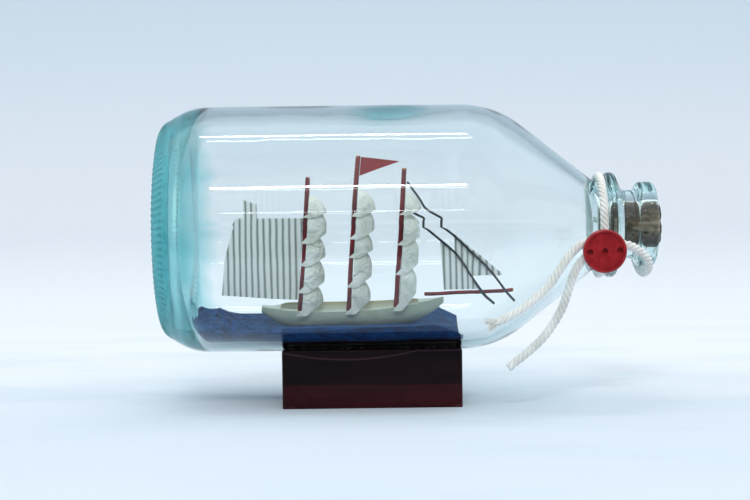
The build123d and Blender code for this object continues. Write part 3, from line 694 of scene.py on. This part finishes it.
# ------------------------------------------------------------------ pennant
# A pointed flag of thin red paper, cut by hand. It is glued to the head of the main mast and flies
# forward.
flag_red = Finish("red_paper", Specular_IOR_Level=0.08)
fibres = flag_red.cloud(900.0, 4.0, 0.6)
dye = flag_red.mixed(fibres.between(0.3, 0.75), tint(142, 2, 26), tint(170, 18, 40))
flag_red.feed(Base_Color=dye, Roughness=0.65 + 0.2 * fibres).relief(fibres, 0.1 * mm)
dress("pennant", flag_red)

# ------------------------------------------------------------------ stays
# Two black threads from the fore mast down past the bowsprit. They are stiffened, so that they keep
# the kinks of their handling.
thread = Finish("black_thread", Specular_IOR_Level=0.3)
plies = thread.cloud(2500.0, 2.0)
thread.feed(Base_Color=thread.mixed(plies, tint(20, 24, 30), tint(52, 58, 64)))
thread.feed(Roughness=0.55 + 0.3 * plies).relief(plies, 0.08 * mm)
for node in ("outer_stay", "inner_stay"):
    dress(node, thread)

# ------------------------------------------------------------------ twine
# Soft cotton twine of four strands, tied round the groove below the collar with a strand over the
# lip. One tail lies down the shoulder and ends in a fray; the other hangs clear of the bottle.
cotton = Finish("cotton_twine", Specular_IOR_Level=0.15, Sheen_Weight=0.35, Sheen_Roughness=0.5)
threads = cotton.cloud(1500.0, 4.0, 0.65)
dust = cotton.cloud(160.0, 3.0)
shade = cotton.mixed(dust.between(0.4, 0.75), tint(244, 245, 242), tint(220, 221, 214))
# Painted shade: the grooves between the strands darken with their depth.
groove_shade = cotton.drawn("depth_in_rope") * 0.5
cotton.feed(Base_Color=cotton.mixed(groove_shade, shade, tint(176, 178, 170)))
cotton.feed(Roughness=0.8 + 0.15 * threads).relief(threads, 0.22 * mm)

ring_low, ring_high = (np.array(corner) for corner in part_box("twine_ring"))
ring_middle = (ring_low + ring_high) / 2
rope_radius = (ring_high[0] - ring_low[0]) / 2
strand_count, strand_size, strand_reach, lay = 4, 0.42, 0.58, 6.4 * mm
to_viewer = np.array([0.0, -1.0, 0.0])


def unit(vectors):
    """The same vectors, each of length 1."""
    return vectors / np.linalg.norm(vectors, axis=-1, keepdims=True)


def run_along(path):
    """How far each point of a path is from its start, measured along the path."""
    return np.concatenate([[0], np.linalg.norm(np.diff(path, axis=0), axis=1).cumsum()])


def heading(path, closed):
    """The direction of a path at each of its points, from the points on either side."""
    return unit(np.roll(path, -1, 0) - np.roll(path, 1, 0) if closed else np.gradient(path, axis=0))


def strands(path, outward, lay, closed=False):
    """Four grids of points, one for each strand of a laid rope.

    A strand's middle runs round the path at strand_reach of the rope's radius by one turn for each
    lay length, and its own round section is strand_size of that radius, drawn in to a point at an
    open end."""
    ahead = heading(path, closed)
    out = unit(outward - (outward * ahead).sum(1, keepdims=True) * ahead)
    side = np.cross(ahead, out)
    thickness = strand_size * rope_radius * np.ones(len(path))
    if closed:
        whole_turn = run_along(np.vstack([path, path[:1]]))[-1]
        run = np.linspace(0, whole_turn, len(path), endpoint=False)
    else:
        run = run_along(path)
        from_end = np.minimum(run, run[-1] - run) / (0.6 * rope_radius)
        thickness *= np.sqrt(np.clip(1 - (1 - np.clip(from_end, 0, 1)) ** 2, 0, 1))
    ring = np.linspace(0, 2 * np.pi, 12, endpoint=False)[None, :, None]
    made = []
    for number in range(strand_count):
        angle = 2 * np.pi * (number / strand_count - run / lay)[:, None]
        away = np.cos(angle) * out + np.sin(angle) * side
        middle = path + strand_reach * rope_radius * away
        across = np.cross(heading(middle, closed), away)
        section = np.cos(ring) * away[:, None] + np.sin(ring) * across[:, None]
        made.append(middle[:, None] + thickness[:, None, None] * section)
    return made


def rope(name, node, grids, path, along=False):
    """A rope from its strands, marked with how deep each point lies between them."""
    near = np.concatenate([grid.reshape(len(path), -1, 3) - path[:, None] for grid in grids])
    from_middle = np.linalg.norm(near.reshape(-1, 3), axis=1)
    depth = np.clip((1 - from_middle / rope_radius) * 1.6, 0, 1)
    piece = skin(name, grids, cotton, around=True, along=along, marks={"depth_in_rope": depth})
    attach(piece, "bottle")
    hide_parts(node)
    return piece


def laid_along(name, points):
    """Points 0.25 mm apart on the smooth curve that a route's points draw, measured in millimetres
    from the ring's middle."""
    curve = bpy.data.curves.new(name, "CURVE")
    curve.dimensions = "3D"
    spline = curve.splines.new("NURBS")
    spline.points.add(len(points) - 1)
    spots = np.array(points) * mm + ring_middle
    spline.points.foreach_set("co", np.hstack([spots, np.ones((len(spots), 1))]).ravel())
    spline.order_u, spline.use_endpoint_u, spline.resolution_u = 3, True, 24
    route = bpy.data.objects.new(name, curve)
    line = bpy.data.meshes.new_from_object(route)
    found = np.empty(3 * len(line.vertices))
    line.vertices.foreach_get("co", found)
    found = found.reshape(-1, 3)
    bpy.data.objects.remove(route)
    run = run_along(found)
    wanted = np.linspace(0, run[-1], int(run[-1] / (0.25 * mm)))
    return np.stack([np.interp(wanted, run, found[:, k]) for k in range(3)], -1)


# The ring is a circle round the groove, and its strands close after 15 turns.
turn = np.linspace(0, 2 * np.pi, 360, endpoint=False)
ring_radius = (ring_high[2] - ring_low[2]) / 2 - rope_radius
spokes = np.stack([0 * turn, np.cos(turn), np.sin(turn)], -1)
ring_path = ring_middle + ring_radius * spokes
ring_strands = strands(ring_path, spokes, 2 * np.pi * ring_radius / 15, closed=True)
rope("twine_ring_laid", "twine_ring", ring_strands, ring_path, along=True)

front_tail = laid_along(
    "front_tail",
    [
        (-1.6, -17.4, -3.2), (-6.3, -18.3, -3.5), (-10.0, -20.8, -6.1), (-13.6, -22.2, -10.8),
        (-16.5, -22.3, -15.4), (-20.9, -23.7, -19.0), (-26.0, -25.6, -22.3), (-31.2, -25.9, -24.9),
        (-34.6, -26.4, -25.2),
    ],
)
hanging_tail = laid_along(
    "hanging_tail",
    [
        (-2.4, -17.4, -5.6), (-6.2, -18.4, -7.6), (-9.0, -19.0, -11.4), (-10.6, -18.9, -16.2),
        (-12.3, -18.5, -21.8), (-14.5, -18.2, -25.6), (-17.0, -18.0, -29.4), (-20.6, -17.8, -33.0),
        (-25.0, -17.8, -36.4), (-27.8, -17.9, -38.7),
    ],
)
lip_strand = laid_along(
    "lip_strand",
    [
        (0, -17.3, -4.4), (5.2, -16.3, -4.4), (8.3, -14.3, -5.6), (10.9, -12.3, -7.4),
        (12.7, -10.4, -9.2), (13.4, -7.5, -11.8), (13.1, -3.7, -13.5), (12.7, 1.5, -14.1),
        (12.3, 6.9, -12.4), (11.7, 11.3, -8.6), (10.0, 14.0, -4.4), (6.6, 15.7, -0.6),
        (3.1, 17.2, 1.9), (-0.2, 17.0, 4.4),
    ],
)


def fray(name, path, count, longest):
    """Loose fibres at the end of a rope: each starts inside it, runs on and bends away to the side
    by the square of its run, and its round section is drawn in to a point at its tip."""
    chance = np.random.default_rng(len(path))
    ahead = unit(path[-1] - path[-10])
    side = np.cross(ahead, to_viewer)
    run = np.linspace(0, 1, 12)[:, None]
    ring = np.linspace(0, 2 * np.pi, 6, endpoint=False)[:, None]
    section = np.cos(ring) * side + np.sin(ring) * to_viewer
    thickness = 0.13 * mm * np.sqrt(1 - 0.999 * run**2)
    fibres = []
    for lean, lift, length, wave in chance.uniform((-1, -0.2, 0.5, 0), (1, 1, 1, 6.3), (count, 4)):
        off_middle = lean * side + lift * (1 - abs(lean)) * to_viewer
        start = path[-6] + 0.75 * rope_radius * off_middle
        bend = (0.4 * lean * run**2 + 0.05 * np.sin(7 * run + wave) * run) * side
        bend = bend + 0.15 * lift * run**2 * to_viewer
        middle = start + longest * length * (run * ahead + bend)
        fibres.append(middle[:, None] + thickness[..., None] * section)
    marks = {"depth_in_rope": np.zeros(count * run.size * ring.size)}
    piece = skin(name, fibres, cotton, around=True, marks=marks)
    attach(piece, "bottle")
    return piece


# Each tail's rope stops short of the route's end, by 12 or 2 points, and its loose fibres go on.
tails = (
    ("front", front_tail[:-12], 44, 4.8 * mm),
    ("hanging", hanging_tail[:-2], 26, 1.6 * mm),
)
for name, path, count, longest in tails:
    piece = rope(f"twine_{name}_laid", f"twine_{name}_tail", strands(path, to_viewer, lay), path)
    float(run_along(path)[-1])
    ends = [fray(f"twine_{name}_fray", path, count, longest)]
from_axis = (lip_strand - ring_middle) * np.array([0, 1, 1])
rope("twine_lip_laid", "twine_lip_strand", strands(lip_strand, from_axis, lay), lip_strand)

# The knot is one tight turn of the twine through itself, a trefoil: sin t + 2 sin 2t, -1.2 sin 3t
# and cos t - 2 cos 2t. It is drawn up behind the button.
knot_low, knot_high = (np.array(corner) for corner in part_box("twine_knot"))
t = np.linspace(0, 2 * np.pi, 260, endpoint=False)
trefoil = (np.sin(t) + 2 * np.sin(2 * t), -1.2 * np.sin(3 * t), np.cos(t) - 2 * np.cos(2 * t))
trefoil = np.stack(trefoil, -1) / 3
reach = 0.5 * (knot_high - knot_low).min() - rope_radius
knot_path = (knot_low + knot_high) / 2 + trefoil * reach
knot_strands = strands(knot_path, unit(trefoil), 4.8 * mm, closed=True)
rope("twine_knot_laid", "twine_knot", knot_strands, knot_path, along=True)

# ------------------------------------------------------------------ button
# A moulded red plastic button with a raised rim and three blind holes in a row. It is fixed on the
# knot of the twine and hides it.
red_plastic = Finish("red_plastic", Coat_Weight=0.3, Coat_Roughness=0.15)
(_, button_front, _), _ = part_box("red_button")
scuffs = red_plastic.cloud(500.0, 4.0, 0.6)
grime = red_plastic.cloud(250.0, 3.0)
in_hole = red_plastic.along("Y").between(button_front + 0.5 * mm, button_front + 1.3 * mm)
red = red_plastic.mixed(scuffs.between(0.35, 0.7), tint(140, 8, 20), tint(166, 16, 28))
red_plastic.feed(Base_Color=red_plastic.mixed(in_hole * 0.6, red, tint(168, 24, 40)))
red_plastic.feed(Roughness=0.3 + 0.2 * scuffs).relief(scuffs + grime, 0.06 * mm)
dress("red_button", red_plastic)

# ------------------------------------------------------------------ cork
# A natural cork, brown and crumbly, with dark pores and a chipped outer edge. It is pushed into the
# mouth by hand and slides out again.
low, high = (np.array(corner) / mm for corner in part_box("cork_stopper"))


def flaws(chance, run, turn, most_crests):
    """A sum of sine waves with whole numbers of crests round the cork, so that they meet, and a
    random slant along it, mostly from -1 to 1."""
    waves, total = 10, 0
    crests_of = chance.integers(2, most_crests, waves)
    for crests, slant, shift in zip(crests_of, *chance.uniform(-2.5, 2.5, (2, waves))):
        total = total + np.sin(crests * turn + slant * run + shift)
    return total / (0.7 * waves**0.5)


# The barrel is a circle carried along the cork, less pits where the flaws are high and chips that
# grow towards the outer end. Rows drawn in to the middle close both ends, the outer one broken by
# ripples.
pit_depth, chip_depth, break_depth = 0.22, 1.1, 0.17
chance = np.random.default_rng(5)
turn = np.linspace(0, 2 * np.pi, 210, endpoint=False)[None]
run = np.concatenate([np.linspace(0.1, 11.2, 70), np.linspace(11.3, 12.85, 20)])[:, None]
pits = np.clip(flaws(chance, run, turn, 24) - 0.5, 0, 1)
pits = pits + 0.6 * np.clip(flaws(chance, 3 * run, turn, 40) - 0.8, 0, 1)
near_end = np.clip((run - 11.6) / 1.2, 0, 1) ** 1.5
chips = np.clip(flaws(chance, run, turn, 12) + 0.1, 0, 1.2) * near_end
girth = (high[2] - low[2]) / 2 - 0.03 - pit_depth * pits - chip_depth * chips
inward = np.linspace(0.96, 0, 14)[:, None]
outline = girth[-1].mean()
end_r = inward * (outline + (girth[-1] - outline) * inward**2)
end_y, end_z = end_r * np.cos(turn), end_r * np.sin(turn)
broken = ripples(chance, end_y, end_z, 4.5) + 0.5 * ripples(chance, end_y, end_z, 1.8)
end_x = high[0] - 0.3 - break_depth * np.clip(broken, -1.3, 1.3)
cork_x = np.concatenate([low[0] + 0 * turn + 0 * inward, low[0] + run + 0 * turn, end_x])
cork_r = np.concatenate([girth[0] * inward[::-1], girth, end_r])
cork_z = (low[2] + high[2]) / 2 + cork_r * np.sin(turn)
cork_skin = np.stack([cork_x, cork_r * np.cos(turn), cork_z], -1)
marks = {"pit": np.pad(pits + chips, ((len(inward), len(inward)), (0, 0)))}

cork = Finish("cork_bark", Specular_IOR_Level=0.1)
cells = {"Vector": cork.place((0.6, 1, 1)), "Scale": 700.0}
pores = cork.node("ShaderNodeTexVoronoi", cells, "Distance")
speckle = cork.cloud(600.0, 5.0, 0.7)
bands = cork.cloud(150.0, 4.0, 0.6, cork.place((0.5, 1, 1)))
veins = cork.cloud(170.0, 2.0, 0.5, cork.place((0.3, 1, 1.6))).between(0.6, 0.68)
bark = cork.mixed(bands.between(0.35, 0.68), tint(58, 42, 28), tint(128, 104, 78))
bark = cork.mixed(speckle.between(0.54, 0.68), bark, tint(30, 22, 16))
bark = cork.mixed(cork.drawn("pit") * 0.8, bark, tint(34, 26, 20))
cork.feed(Base_Color=cork.mixed(veins * 0.7, bark, tint(190, 166, 142)))
cork.feed(Roughness=0.85 - 0.15 * speckle).relief(speckle.between(0.7, 0.5) + pores, 0.4 * mm)
piece = skin("cork_stopper_cut", cork_skin * mm, cork, around=True, marks=marks)
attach(piece, "stopper")
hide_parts("cork_stopper")
